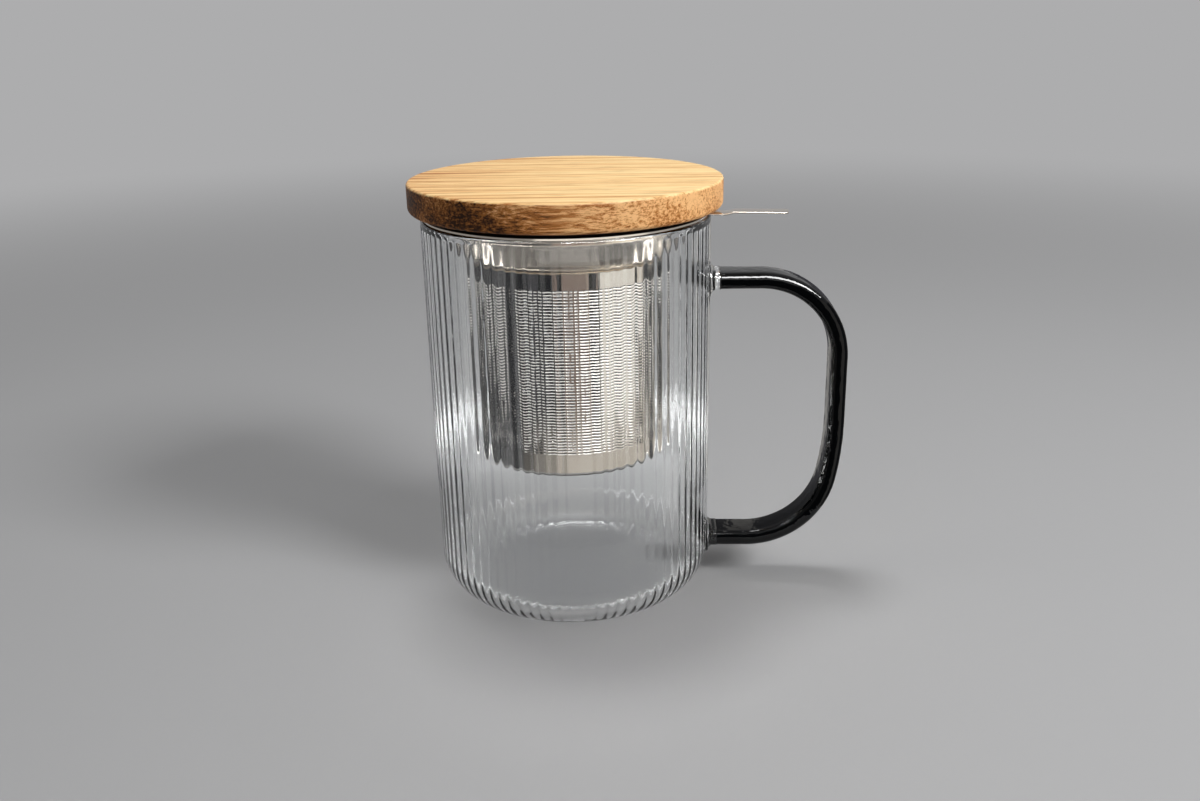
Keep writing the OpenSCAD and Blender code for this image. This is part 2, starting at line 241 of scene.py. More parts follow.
class StageSizes(bpy.types.PropertyGroup):
    """Places of the camera and the reflection cards, and the strengths of what lights the part"""
    camera_x: length("Camera X", "Place of the camera along X", 23.4 * MM)
    camera_y: length("Camera Y", "Place of the camera along Y", -334.3 * MM)
    camera_z: length("Camera Z", "Height of the camera", 177.5 * MM)
    heading: angle("Heading", "Turn of the camera away from +Y", 2.48)
    pitch: angle("Pitch", "How far the camera looks down", 19.54)
    roll: angle("Roll", "Roll of the camera", -1.12)
    lens: FloatProperty(name="Lens", description="Focal length of the camera", default=34.32, unit="CAMERA")
    floor_size: length("Floor size", "Distance from the middle of the floor to its edge", 3)
    fade_near: length("Fade start", "Distance at which the floor starts to fade into the backdrop", 0.35)
    fade_far: length("Fade end", "Distance at which the floor has the backdrop's colour", 1.1)
    air_gap: length("Air gap", "Gap between the floor and the foot of the glass", 0.1 * MM)
    card_radius: length("Card radius", "Distance of the reflection cards from the axis", 100 * MM)
    card_height: length("Card height", "Height of the cards, above which a light panel stands", 100 * MM)
    room_cards: strength("Room cards", "Strength of the cards on an outside", 0.8)
    glass_cards: strength("Glass cards", "Strength of the cards in the glass", 1.1)
    infuser_cards: strength("Infuser cards", "Strength of the cards in the infuser", 1.2)
    foot_full: length("Full foot", "Height up to which the foot of the cards is pale", 20 * MM)
    foot_end: length("Foot end", "Height at which that paleness ends", 40 * MM)
    foot_spread: angle("Foot spread", "How far the pale foot reaches to each side of the bright part", 112)
    panel_height: length("Panel height", "Height of the top of the light panel", 210 * MM)
    panel: strength("Panel", "Strength of the light panel in mirrors", 1.5)
    sun: strength("Bright panel", "Strength of its bright part", 2.6)
    sun_bearing: angle("Bright bearing", "Bearing of the middle of the bright part", -32)
    sun_spread: angle("Bright spread", "How far the bright part reaches to each side of it", 46)
    brow: strength("Brow card", "Strength of the card over those in front", 1.2)
    brow_bearing: angle("Brow bearing", "Bearing of the middle of that card", -70)
    brow_spread: angle("Brow spread", "How far that card reaches to each side of it", 35)
    brow_height: length("Brow height", "Height of the top of that card", 118 * MM)
    strip: strength("Strip light", "Strength of the strip of light along the foot of the cards", 8)
    strip_height: length("Strip height", "Height of that strip", 9 * MM)
    gap_bearing: angle("Gap bearing", "Bearing of the middle of the gap in that strip", -75)
    gap_spread: angle("Gap spread", "How far the gap reaches to each side of it", 45)
    sky: strength("Sky", "Strength of the even light all round", 0.14)


class TeaMug(bpy.types.PropertyGroup):
    """All that a user can change"""
    glass: pointer(GlassSizes, "Glass", "Sizes of the fluted glass")
    handle: pointer(HandleSizes, "Handle", "Sizes of the strap and its welds")
    infuser: pointer(InfuserSizes, "Infuser", "Sizes of the infuser")
    lid: pointer(LidSizes, "Lid", "Sizes of the lid and its seal")
    colours: pointer(Colours, "Colours", "Colours of the pieces and the stage")
    stage: pointer(StageSizes, "Stage", "Camera, reflection cards and light")


# ---- lines and surfaces ----

def unit(vectors):
    """The vectors, each divided by its length."""
    return vectors / np.linalg.norm(vectors, axis=-1, keepdims=True)


def smooth(share):
    """3s² - 2s³ of the share s held between 0 and 1."""
    held = np.clip(share, 0, 1)
    return held * held * (3 - 2 * held)


def filleted(corners, radii, closed=False, step=radians(6)):
    """A line through the corners in which each corner with a radius becomes an arc. The arc's ends
    lie radius / tan(h) from the corner and its centre radius / sin(h) along the bisector, where h
    is half the angle between the two sides."""
    corners = np.asarray(corners, float)
    around = np.vstack([corners[-1:], corners, corners[:1]]) if closed else corners
    line = [] if closed else [corners[:1]]
    for before, corner, after, radius in zip(around, around[1:], around[2:], radii):
        if radius == 0:
            line.append(corner[None])
            continue
        back, on = unit(before - corner), unit(after - corner)
        half = np.arccos(back @ on) / 2
        centre = corner + unit(back + on) * radius / np.sin(half)
        first = corner + back * radius / np.tan(half) - centre
        last = corner + on * radius / np.tan(half) - centre
        swing = np.pi - 2 * half
        share = np.linspace(0, 1, int(np.ceil(swing / step)) + 1)[:, None]
        line.append(centre + (np.sin((1 - share) * swing) * first + np.sin(share * swing) * last)
                    / np.sin(swing))
    if not closed:
        line.append(corners[-1:])
    return np.concatenate(line)


def rounded_rectangle(height, breadth, radius):
    """Outline of a rectangle, height along the first coordinate, with its corners rounded."""
    h, b = height / 2, breadth / 2
    return filleted([(-h, -b), (h, -b), (h, b), (-h, b)], [radius] * 4, closed=True, step=radians(15))


def left_of(line):
    """Unit vectors square to the line on its left, from the differences of its neighbours."""
    along = unit(np.gradient(line, axis=0))
    return np.stack([-along[:, 1], along[:, 0]], -1)


def sheet_outline(line, thickness):
    """Closed outline of a sheet: the line moved by half the thickness to its left, and back
    along the line moved by as much to its right."""
    aside = left_of(line) * thickness / 2
    return np.concatenate([line + aside, (line - aside)[::-1]])


def bearings(columns):
    """Angles of evenly spaced columns round the axis, the first half a step past +X."""
    return (np.arange(columns) + 0.5) * 2 * np.pi / columns


def spun(outline, turns):
    """Grid of an outline of radius and height, turned to each angle round the axis:
    x = r cos a, y = r sin a, z = z."""
    radius, height = outline[:, :1], outline[:, 1:]
    return np.stack([radius * np.cos(turns), radius * np.sin(turns),
                     np.broadcast_to(height, (len(outline), len(turns)))], -1)


def carried(line, sections):
    """Grid of a section carried along a line in the XZ plane: its first coordinate runs to the
    line's left and its second along Y."""
    aside = left_of(line)[:, None]
    sections = np.broadcast_to(sections, (len(line),) + np.shape(sections)[-2:])
    flat = line[:, None] + aside * sections[..., :1]
    return np.stack([flat[..., 0], sections[..., 1], flat[..., 1]], -1)


def volume(points, faces):
    """Signed volume of a closed skin: a sixth of the sum of a . (b x c) over its triangles."""
    total = 0
    for group in faces:
        for k in range(1, group.shape[1] - 1):
            a, b, c = points[group[:, 0]], points[group[:, k]], points[group[:, k + 1]]
            total += np.einsum("ij,ij->", a, np.cross(b, c)) / 6
    return total


def outward(points, faces):
    """The skin with its faces turned outwards."""
    if volume(points, faces) < 0:
        faces = [group[:, ::-1] for group in faces]
    return points, faces


def cells(index):
    """The four corners of each cell of a grid of point numbers."""
    return np.stack([index[:-1, :-1], index[:-1, 1:], index[1:, 1:], index[1:, :-1]], -1)


def skin(grid, ring=False):
    """Closed skin over a grid whose columns run all the way round. The rows of a ring run round
    too; otherwise a fan to its middle closes the first row and the last."""
    rows, columns = grid.shape[:2]
    index = np.arange(rows * columns).reshape(rows, columns)
    index = np.hstack([index, index[:, :1]])
    points = grid.reshape(-1, 3)
    if ring:
        return outward(points, [cells(np.vstack([index, index[:1]])).reshape(-1, 4)])
    middle = np.full(columns, len(points))
    first = np.stack([index[0, 1:], index[0, :-1], middle], -1)
    last = np.stack([index[-1, :-1], index[-1, 1:], middle + 1], -1)
    points = np.vstack([points, grid[0].mean(0), grid[-1].mean(0)])
    return outward(points, [cells(index).reshape(-1, 4), first, last])


def pierced(outer, inner, solid):
    """Closed skin of a thin sheet between two grids, without the cells that aren't solid. Each
    edge between a solid cell and an open one gets a wall through the thickness."""
    rows, columns = outer.shape[:2]
    front = np.arange(rows * columns).reshape(rows, columns)
    front = np.hstack([front, front[:, :1]])
    back = front + rows * columns
    faces = [cells(front)[solid], cells(back)[solid][:, ::-1]]
    bare = np.zeros((1, columns), bool)
    below, above = np.vstack([bare, solid]), np.vstack([solid, bare])
    across = np.stack([front[:, 1:], front[:, :-1], back[:, :-1], back[:, 1:]], -1)
    faces += [across[above & ~below], across[below & ~above][:, ::-1]]
    before = np.roll(solid, 1, axis=1)
    upright = np.stack([front[:-1, :-1], front[1:, :-1], back[1:, :-1], back[:-1, :-1]], -1)
    faces += [upright[solid & ~before], upright[before & ~solid][:, ::-1]]
    return outward(np.vstack([outer.reshape(-1, 3), inner.reshape(-1, 3)]), faces)


def joined(*skins):
    """Several closed skins as one set of points and faces."""
    starts = np.cumsum([0] + [len(points) for points, _ in skins])
    return (np.vstack([points for points, _ in skins]),
            [group + start for (_, faces), start in zip(skins, starts) for group in faces])


def new_object(name, points, faces, crease=35):
    """A mesh object at the origin, smooth apart from edges sharper than crease degrees."""
    mesh = bpy.data.meshes.new(name)
    corners = np.concatenate([group.ravel() for group in faces])
    sizes = np.concatenate([np.full(len(group), group.shape[1]) for group in faces])
    mesh.vertices.add(len(points))
    mesh.vertices.foreach_set("co", points.astype(np.float32).ravel())
    mesh.loops.add(len(corners))
    mesh.loops.foreach_set("vertex_index", corners.astype(np.int32))
    mesh.polygons.add(len(sizes))
    mesh.polygons.foreach_set("loop_start", (np.cumsum(sizes) - sizes).astype(np.int32))
    mesh.update(calc_edges=True)
    mesh.validate()
    mesh.shade_smooth()
    mesh.set_sharp_from_angle(angle=radians(crease))
    made = bpy.data.objects.new(name, mesh)
    bpy.context.scene.collection.objects.link(made)
    return made


def fused(base, others):
    """The base with the other closed skins welded on: one skin, with nothing inside it."""
    for other in others:
        weld = base.modifiers.new("weld", "BOOLEAN")
        weld.operation = "UNION"
        weld.solver = "MANIFOLD"
        weld.object = other
    graph = bpy.context.evaluated_depsgraph_get()
    whole = bpy.data.meshes.new_from_object(base.evaluated_get(graph))
    base.modifiers.clear()
    base.data = whole
    for other in others:
        bpy.data.objects.remove(other)
    return base


def dress(piece, material, body, slot, *nodes):
    """Gives a piece its material and its body, and hides the nodes that it stands for. Its slot is not used.
    """
    piece.data.materials.clear()
    piece.data.materials.append(material)
    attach(piece, body)
    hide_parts(*nodes)


# ---- materials ----
#
# Object coordinates are in metres, so a noise of Scale n / MM has n grains to a millimetre. A Mix
# node takes its two numbers at sockets 2 and 3, or its two colours at 6 and 7 with the mixed
# colour at output 2.

def add_node(tree, kind, inputs=None, stops=None, **settings):
    """Adds a node. Inputs gives each socket, by name or number, a value or the socket that feeds
    it, stops are the places and colours of a ramp, and settings are the node's own."""
    made = tree.nodes.new(kind)
    for key, value in settings.items():
        setattr(made, key, value)
    for key, value in (inputs or {}).items():
        if isinstance(value, bpy.types.NodeSocket):
            tree.links.new(value, made.inputs[key])
        else:
            made.inputs[key].default_value = value
    for i, (place, shade) in enumerate(stops or []):
        ramp = made.color_ramp.elements
        point = ramp[i] if i < 2 else ramp.new(place)
        point.position = place
        point.color = shade
    return made


def new_material(name):
    """An empty material and its node tree."""
    material = bpy.data.materials.new(name)
    material.use_nodes = True
    material.node_tree.nodes.clear()
    return material, material.node_tree


def borosilicate_glass(tint, shadow_tint):
    """Borosilicate glass, pressed and fire polished: clear, with a slow waviness, about 3 mm across
    and 8 mm high, that bends what shows through it. A ray that lights a surface passes it unbent, so
    that it casts the pale shadow that glass does."""
    material, tree = new_material("borosilicate glass")
    place = add_node(tree, "ShaderNodeTexCoord").outputs["Object"]
    drawn = add_node(tree, "ShaderNodeMapping", {"Vector": place, "Scale": (1, 1, 0.35)})
    waves = add_node(tree, "ShaderNodeTexNoise", {
        "Vector": drawn.outputs[0], "Scale": 0.35 / MM, "Detail": 2, "Roughness": 0.5})
    ripple = add_node(tree, "ShaderNodeBump", {
        "Height": waves.outputs["Fac"], "Strength": 0.12, "Distance": 0.4 * MM})
    glass = add_node(tree, "ShaderNodeBsdfPrincipled", {
        "Base Color": (*tint, 1), "Roughness": 0.0, "IOR": 1.473, "Transmission Weight": 1.0,
        "Normal": ripple.outputs["Normal"]})
    shadow = add_node(tree, "ShaderNodeBsdfTransparent", {"Color": (*shadow_tint, 1)})
    path = add_node(tree, "ShaderNodeLightPath").outputs
    light = add_node(tree, "ShaderNodeMath", {0: path["Is Shadow Ray"], 1: path["Is Diffuse Ray"]},
                     operation="MAXIMUM")
    both = add_node(tree, "ShaderNodeMixShader", {
        0: light.outputs[0], 1: glass.outputs[0], 2: shadow.outputs[0]})
    add_node(tree, "ShaderNodeOutputMaterial", {"Surface": both.outputs[0]})
    return material


def black_glass(shade):
    """Black glass rod, softened and pressed flat: a deep gloss with the faint ripple of hot glass,
    about 3 mm across, and finer patches, about 0.7 mm, that are a little less bright."""
    material, tree = new_material("black glass")
    place = add_node(tree, "ShaderNodeTexCoord").outputs["Object"]
    waves = add_node(tree, "ShaderNodeTexNoise", {
        "Vector": place, "Scale": 0.3 / MM, "Detail": 2, "Roughness": 0.5})
    ripple = add_node(tree, "ShaderNodeBump", {
        "Height": waves.outputs["Fac"], "Strength": 0.5, "Distance": 0.4 * MM})
    patches = add_node(tree, "ShaderNodeTexNoise", {
        "Vector": place, "Scale": 1.4 / MM, "Detail": 3, "Roughness": 0.6})
    gloss = add_node(tree, "ShaderNodeMapRange", {
        "Value": patches.outputs["Fac"], "From Min": 0.3, "From Max": 0.8, "To Min": 0.01, "To Max": 0.05})
    glass = add_node(tree, "ShaderNodeBsdfPrincipled", {
        "Base Color": (*shade, 1), "Roughness": gloss.outputs[0], "IOR": 1.5, "Specular IOR Level": 0.35,
        "Normal": ripple.outputs["Normal"]})
    add_node(tree, "ShaderNodeOutputMaterial", {"Surface": glass.outputs[0]})
    return material


def stainless_steel(name, shade, rough, brushed, etched_with_painted_shade=None, matt_and_painted_shade_within=0, dull=0.4):
    """Stainless steel sheet, rolled and polished: rough is the roughness of its polish, and brushed
    is how much more the fine lines of rolling have. The real lines are far finer, and are drawn
    0.3 mm apart and 8 mm long so that they show. Pressing leaves shallow dents, about 12 mm across.
    Nearer to the axis than matt_and_painted_shade_within the steel takes the colour
    etched_with_painted_shade, painted shade that stands in for the dim inside of the basket, and is
    rougher by dull, as etching leaves it."""
    material, tree = new_material(name)
    place = add_node(tree, "ShaderNodeTexCoord").outputs["Object"]
    drawn = add_node(tree, "ShaderNodeMapping", {"Vector": place, "Scale": (1, 1, 0.04)})
    lines = add_node(tree, "ShaderNodeTexNoise", {
        "Vector": drawn.outputs[0], "Scale": 3 / MM, "Detail": 3, "Roughness": 0.6})
    polish = add_node(tree, "ShaderNodeMapRange", {
        "Value": lines.outputs["Fac"], "From Min": 0.3, "From Max": 0.7,
        "To Min": rough, "To Max": rough + brushed})
    hollows = add_node(tree, "ShaderNodeTexNoise", {
        "Vector": place, "Scale": 0.08 / MM, "Detail": 2, "Roughness": 0.5})
    dents = add_node(tree, "ShaderNodeBump", {
        "Height": hollows.outputs["Fac"], "Strength": 0.1, "Distance": 0.6 * MM})
    finish = {"Base Color": (*shade, 1), "Metallic": 1.0, "Roughness": polish.outputs[0],
              "Normal": dents.outputs["Normal"]}
    # Painted shade: nearer to the axis the steel is painted dark as shade, and made rougher as etching leaves
    # it
    if etched_with_painted_shade:
        level = add_node(tree, "ShaderNodeVectorMath", {0: place, 1: (1, 1, 0)}, operation="MULTIPLY")
        off_axis = add_node(tree, "ShaderNodeVectorMath", {0: level.outputs[0]}, operation="LENGTH")
        inside = add_node(tree, "ShaderNodeMath", {0: off_axis.outputs["Value"], 1: matt_and_painted_shade_within},
                          operation="LESS_THAN")
        tone_with_painted_shade = add_node(tree, "ShaderNodeMix", {0: inside.outputs[0], 6: (*shade, 1), 7: (*etched_with_painted_shade, 1)},
                        data_type="RGBA")
        matt = add_node(tree, "ShaderNodeMath", {0: inside.outputs[0], 1: dull, 2: polish.outputs[0]},
                        operation="MULTIPLY_ADD")
        finish |= {"Base Color": tone_with_painted_shade.outputs[2], "Roughness": matt.outputs[0]}
    metal = add_node(tree, "ShaderNodeBsdfPrincipled", finish)
    add_node(tree, "ShaderNodeOutputMaterial", {"Surface": metal.outputs[0]})
    return material


def oiled_acacia(colours, lid):
    """Acacia, turned, sanded and oiled: its grain lies along X, tilted by a few degrees. The top
    shows reddish streaks, 2.5 mm wide, and pores, 0.6 mm wide and 11 mm long. The edge is darker,
    partly from the oil it has drunk and partly as painted shade. It shows the cut fibres, 0.7 mm
    wide, as streaks at the front and back and as specks at the ends of the board. Towards -X the
    wood is darker still, partly as heartwood and partly as painted shade of the side away from the
    light."""
    material, tree = new_material("oiled acacia")
    place = add_node(tree, "ShaderNodeTexCoord").outputs["Object"]
    long_grain = add_node(tree, "ShaderNodeMapping", {
        "Vector": place, "Scale": (0.02, 1, 1), "Rotation": (0, radians(1.5), radians(3))})
    streaks = add_node(tree, "ShaderNodeTexNoise", {
        "Vector": long_grain.outputs[0], "Scale": 0.4 / MM, "Detail": 6, "Roughness": 0.72,
        "Distortion": 0.4})
    cut_grain = add_node(tree, "ShaderNodeMapping", {
        "Vector": place, "Scale": (0.04, 1, 1), "Rotation": (0, radians(2.5), 0)})
    fibres = add_node(tree, "ShaderNodeTexNoise", {
        "Vector": cut_grain.outputs[0], "Scale": 1.4 / MM, "Detail": 6, "Roughness": 0.8,
        "Distortion": 0.2})
    broad_grain = add_node(tree, "ShaderNodeMapping", {"Vector": place, "Scale": (0.3, 1, 1)})
    clouds = add_node(tree, "ShaderNodeTexNoise", {
        "Vector": broad_grain.outputs[0], "Scale": 0.09 / MM, "Detail": 2, "Roughness": 0.5})
    short_grain = add_node(tree, "ShaderNodeMapping", {
        "Vector": place, "Scale": (0.05, 1, 1), "Rotation": (0, 0, radians(3))})
    pores = add_node(tree, "ShaderNodeTexNoise", {
        "Vector": short_grain.outputs[0], "Scale": 1.8 / MM, "Detail": 2, "Roughness": 0.5})
    apart = add_node(tree, "ShaderNodeSeparateXYZ", {0: place}).outputs
    # Painted shade: darker towards -X, partly heartwood and partly the shade of the side away from the light;
    # it darkens the top and the edge
    heartwood_and_painted_shade = add_node(tree, "ShaderNodeMapRange", {
        "Value": apart["X"], "From Min": -lid.radius, "From Max": lid.radius * 0.4,
        "To Min": -0.24, "To Max": 0.03})
    tone_with_painted_shade = add_node(tree, "ShaderNodeMath", {0: heartwood_and_painted_shade.outputs[0], 1: 0.35, 2: streaks.outputs["Fac"]},
                    operation="MULTIPLY_ADD")
    top = add_node(tree, "ShaderNodeValToRGB", {"Fac": tone_with_painted_shade.outputs[0]}, stops=[
        (0.35, (*colours.wood_dark, 1)), (0.44, (*colours.wood_mid, 1)), (0.56, (*colours.wood_pale, 1))])
    hole = add_node(tree, "ShaderNodeMapRange", {
        "Value": pores.outputs["Fac"], "From Min": 0.57, "From Max": 0.68, "To Min": 0.0, "To Max": 0.45})
    pored = add_node(tree, "ShaderNodeMix", {
        0: hole.outputs[0], 6: top.outputs["Color"], 7: (*colours.wood_pore, 1)}, data_type="RGBA")
    band = add_node(tree, "ShaderNodeMath", {0: clouds.outputs["Fac"], 1: 0.5, 2: heartwood_and_painted_shade.outputs[0]},
                    operation="MULTIPLY_ADD")
    cut = add_node(tree, "ShaderNodeMath", {0: fibres.outputs["Fac"], 1: 1.3, 2: band.outputs[0]},
                   operation="MULTIPLY_ADD")
    # The edge's ramp is darker than the top's: partly the oil the edge has drunk, partly painted shade
    side = add_node(tree, "ShaderNodeValToRGB", {"Fac": cut.outputs[0]}, stops=[
        (0.66, (*colours.edge_dark, 1)), (0.84, (*colours.edge_mid, 1)), (1.0, (*colours.edge_pale, 1))])
    ragged = add_node(tree, "ShaderNodeMath", {0: fibres.outputs["Fac"], 1: 0.9 * MM, 2: apart["Z"]},
                      operation="MULTIPLY_ADD")
    edge = add_node(tree, "ShaderNodeMapRange", {
        "Value": ragged.outputs[0], "From Min": lid.top - 0.2 * MM, "From Max": lid.top + 0.15 * MM,
        "To Min": 1.0, "To Max": 0.0})
    oiled = add_node(tree, "ShaderNodeMix", {
        0: edge.outputs[0], 6: pored.outputs[2], 7: side.outputs["Color"]}, data_type="RGBA")
    relief = add_node(tree, "ShaderNodeMath", {0: hole.outputs[0], 1: -1.2, 2: fibres.outputs["Fac"]},
                      operation="MULTIPLY_ADD")
    bump = add_node(tree, "ShaderNodeBump", {
        "Height": relief.outputs[0], "Strength": 0.5, "Distance": 0.08 * MM})
    wood = add_node(tree, "ShaderNodeBsdfPrincipled", {
        "Base Color": oiled.outputs[2], "Roughness": 0.5, "Specular IOR Level": 0.1,
        "Normal": bump.outputs["Normal"]})
    add_node(tree, "ShaderNodeOutputMaterial", {"Surface": wood.outputs[0]})
    return material


def black_silicone(shade):
    """Silicone rubber, moulded: matt, with a bloom of fine dust that is drawn in spots of 1.7 mm so
    that it shows."""
    material, tree = new_material("black silicone")
    place = add_node(tree, "ShaderNodeTexCoord").outputs["Object"]
    dust = add_node(tree, "ShaderNodeTexNoise", {
        "Vector": place, "Scale": 0.6 / MM, "Detail": 4, "Roughness": 0.7})
    bloom = add_node(tree, "ShaderNodeMapRange", {
        "Value": dust.outputs["Fac"], "To Min": 0.5, "To Max": 0.75})
    rubber = add_node(tree, "ShaderNodeBsdfPrincipled", {
        "Base Color": (*shade, 1), "Roughness": bloom.outputs[0], "Specular IOR Level": 0.2})
    add_node(tree, "ShaderNodeOutputMaterial", {"Surface": rubber.outputs[0]})
    return material


def seen_ray(tree):
    """1 on a ray from the camera, or one that is mirrored or has passed through glass, and 0 on one
    that lights a surface."""
    path = add_node(tree, "ShaderNodeLightPath").outputs
    seen = add_node(tree, "ShaderNodeMath", {0: path["Is Camera Ray"], 1: path["Is Glossy Ray"]},
                    operation="MAXIMUM")
    return add_node(tree, "ShaderNodeMath", {0: seen.outputs[0], 1: path["Is Transmission Ray"]},
                    operation="MAXIMUM").outputs[0]


def table_top(colours, stage):
    """Matt painted board, a pale floor, which fades far out into the backdrop's colour where it is
    seen."""
    material, tree = new_material("matt painted board")
    matt = add_node(tree, "ShaderNodeBsdfPrincipled", {
        "Base Color": (*colours.table, 1), "Roughness": 0.7, "Specular IOR Level": 0.2})
    far = add_node(tree, "ShaderNodeEmission", {"Color": (*colours.backdrop, 1), "Strength": 1.0})
    place = add_node(tree, "ShaderNodeTexCoord").outputs["Object"]
    out = add_node(tree, "ShaderNodeVectorMath", {0: place}, operation="LENGTH")
    fade = add_node(tree, "ShaderNodeMapRange", {
        "Value": out.outputs["Value"], "From Min": stage.fade_near, "From Max": stage.fade_far},
        interpolation_type="SMOOTHSTEP")
    shown = add_node(tree, "ShaderNodeMath", {0: fade.outputs[0], 1: seen_ray(tree)}, operation="MULTIPLY")
    both = add_node(tree, "ShaderNodeMixShader", {
        0: shown.outputs[0], 1: matt.outputs[0], 2: far.outputs[0]})
    add_node(tree, "ShaderNodeOutputMaterial", {"Surface": both.outputs[0]})
    return material


# ---- pieces ----

class MUG_OT_glass(bpy.types.Operator):
    """Makes the fluted glass, with the two clear welds that carry the handle"""
    bl_idname = "tea_mug.glass"
    bl_label = "Fluted Glass"

    def execute(self, context):
        mug = context.scene.tea_mug
        glass = new_object("fluted_glass", *skin(fluted_grid(mug.glass, mug.handle)))
        welds = [new_object("weld", *skin(weld_grid(mug.glass, mug.handle, height)))
                 for height in (mug.handle.top, mug.handle.low)]
        fused(glass, welds)
        clear = borosilicate_glass(mug.colours.glass, mug.colours.glass_shadow)
        dress(glass, clear, "mug", "clear_glass", "mug_glass", "upper_weld", "lower_weld")
        return {"FINISHED"}


def fluted_grid(glass, handle):
    """Rows run up the outside of the glass, over the rim and down the inside to the floor. Inside,
    each point moves into the wall by depth * (1 + cos(flutes * angle)) / 2, which fades out at the
    rim and on the floor."""
    bore = glass.radius - glass.wall
    band = bore + glass.band_step
    flute_top = glass.height - glass.band
    steps_down = np.linspace(0, 1, 5)[1:] * glass.flute_fade
    around_welds = [handle.low + glass.weld_near, handle.low + glass.weld_far,
                    handle.top - glass.weld_far, handle.top - glass.weld_near,
                    handle.top + glass.weld_near, handle.top + glass.weld_far]
    corners = ([(0, 0), (glass.radius, 0)] + [(glass.radius, z) for z in around_welds]
               + [(glass.radius, glass.height), (band, glass.height), (band, flute_top)]
               + [(bore, flute_top - glass.band_step - down) for down in steps_down]
               + [(bore, glass.floor), (0, glass.floor)])
    radii = ([glass.corner] + [0] * len(around_welds) + [glass.rim, glass.rim, 0]
             + [0] * len(steps_down) + [glass.inner_corner])
    line = filleted(corners, radii)[1:-1]
    radius, height = line[:, 0], line[:, 1]
    inside = np.arange(len(line)) > np.argmax(height)
    inside &= radius < band + glass.rim / 2
    fade = (inside * smooth((flute_top - height) / glass.flute_fade)
            * smooth((radius - glass.flute_start) / (glass.flute_full - glass.flute_start)))
    turns = bearings(glass.flutes * glass.columns)
    depth = glass.flute_depth * (1 + np.cos(turns * glass.flutes)) / 2
    moved = line[:, None] - left_of(line)[:, None] * (fade[:, None] * depth)[..., None]
    return np.stack([moved[..., 0] * np.cos(turns), moved[..., 0] * np.sin(turns), moved[..., 1]], -1)


def weld_grid(glass, handle, height):
    """The strap's outline carried out of the wall: it starts wider by the flare f, and at h off the
    wall it is wider by f - sqrt(f² - (f - h)²), down to the lip that laps round the strap. The
    steps crowd towards the wall, where the curve is tightest, and two more round the lip off."""
    flare, lip = handle.weld_flare, handle.weld_lip
    curve = np.linspace(0, 1, 13) ** 1.6 * flare
    off_wall = np.concatenate([[-handle.weld_root], curve, [handle.weld - lip]])
    inward = np.clip(flare - off_wall, 0, flare)
    wider = np.maximum(flare - np.sqrt(flare ** 2 - inward ** 2), lip)
    off_wall = np.append(off_wall, [handle.weld - lip * 0.3, handle.weld])
    wider = np.append(wider, [lip * 0.7, 0])
    sections = np.stack([rounded_rectangle(handle.thickness + 2 * w, handle.breadth + 2 * w, handle.edge + w)
                         for w in wider])
    line = np.stack([glass.radius + off_wall, np.full(len(off_wall), height)], -1)
    return carried(line, sections)


class MUG_OT_handle(bpy.types.Operator):
    """Makes the bent strap of black glass"""
    bl_idname = "tea_mug.handle"
    bl_label = "Strap Handle"

    def execute(self, context):
        mug = context.scene.tea_mug
        handle = mug.handle
        wall = mug.glass.radius
        drop = handle.bow_height - handle.low
        turned_in = handle.reach - drop * np.tan(handle.bow_angle)
        line = filleted([(wall + handle.upper_seat, handle.top), (handle.reach, handle.top),
                         (handle.reach, handle.bow_height), (turned_in, handle.low),
                         (wall + handle.lower_seat, handle.low)],
                        [handle.upper_bend, handle.bow, handle.lower_bend], step=radians(3))
        section = rounded_rectangle(handle.thickness, handle.breadth, handle.edge)
        strap = new_object("black_strap", *skin(carried(line, section)))
        dress(strap, black_glass(mug.colours.strap), "mug", "black_glass", "handle_strap")
        return {"FINISHED"}


class MUG_OT_funnel(bpy.types.Operator):
    """Makes the stamped funnel of the infuser, with its flange, collar and lifting tab"""
    bl_idname = "tea_mug.funnel"
    bl_label = "Infuser Funnel"

    def execute(self, context):
        mug = context.scene.tea_mug
        infuser = mug.infuser
        half = infuser.sheet / 2
        inside = infuser.radius - infuser.mesh - infuser.collar_fit - half
        line = filleted([(infuser.flange, infuser.top - half), (infuser.neck - half, infuser.top - half),
                         (infuser.neck - half, infuser.neck_low),
                         (inside + infuser.shoulder_reach, infuser.wall_top + infuser.shoulder_rise),
                         (inside, infuser.wall_top + infuser.mesh + half), (inside, infuser.collar)],
                        [infuser.bend, infuser.bend * 2, infuser.shoulder, infuser.bend])
        sheet = skin(spun(sheet_outline(line, infuser.sheet), bearings(360)), ring=True)
        funnel = new_object("stamped_funnel", *joined(sheet, skin(tab_grid(infuser))))
        satin = stainless_steel("satin stainless steel", mug.colours.satin, rough=0.13, brushed=0.06)
        dress(funnel, satin, "infuser", "polished_steel", "infuser_funnel")
        return {"FINISHED"}


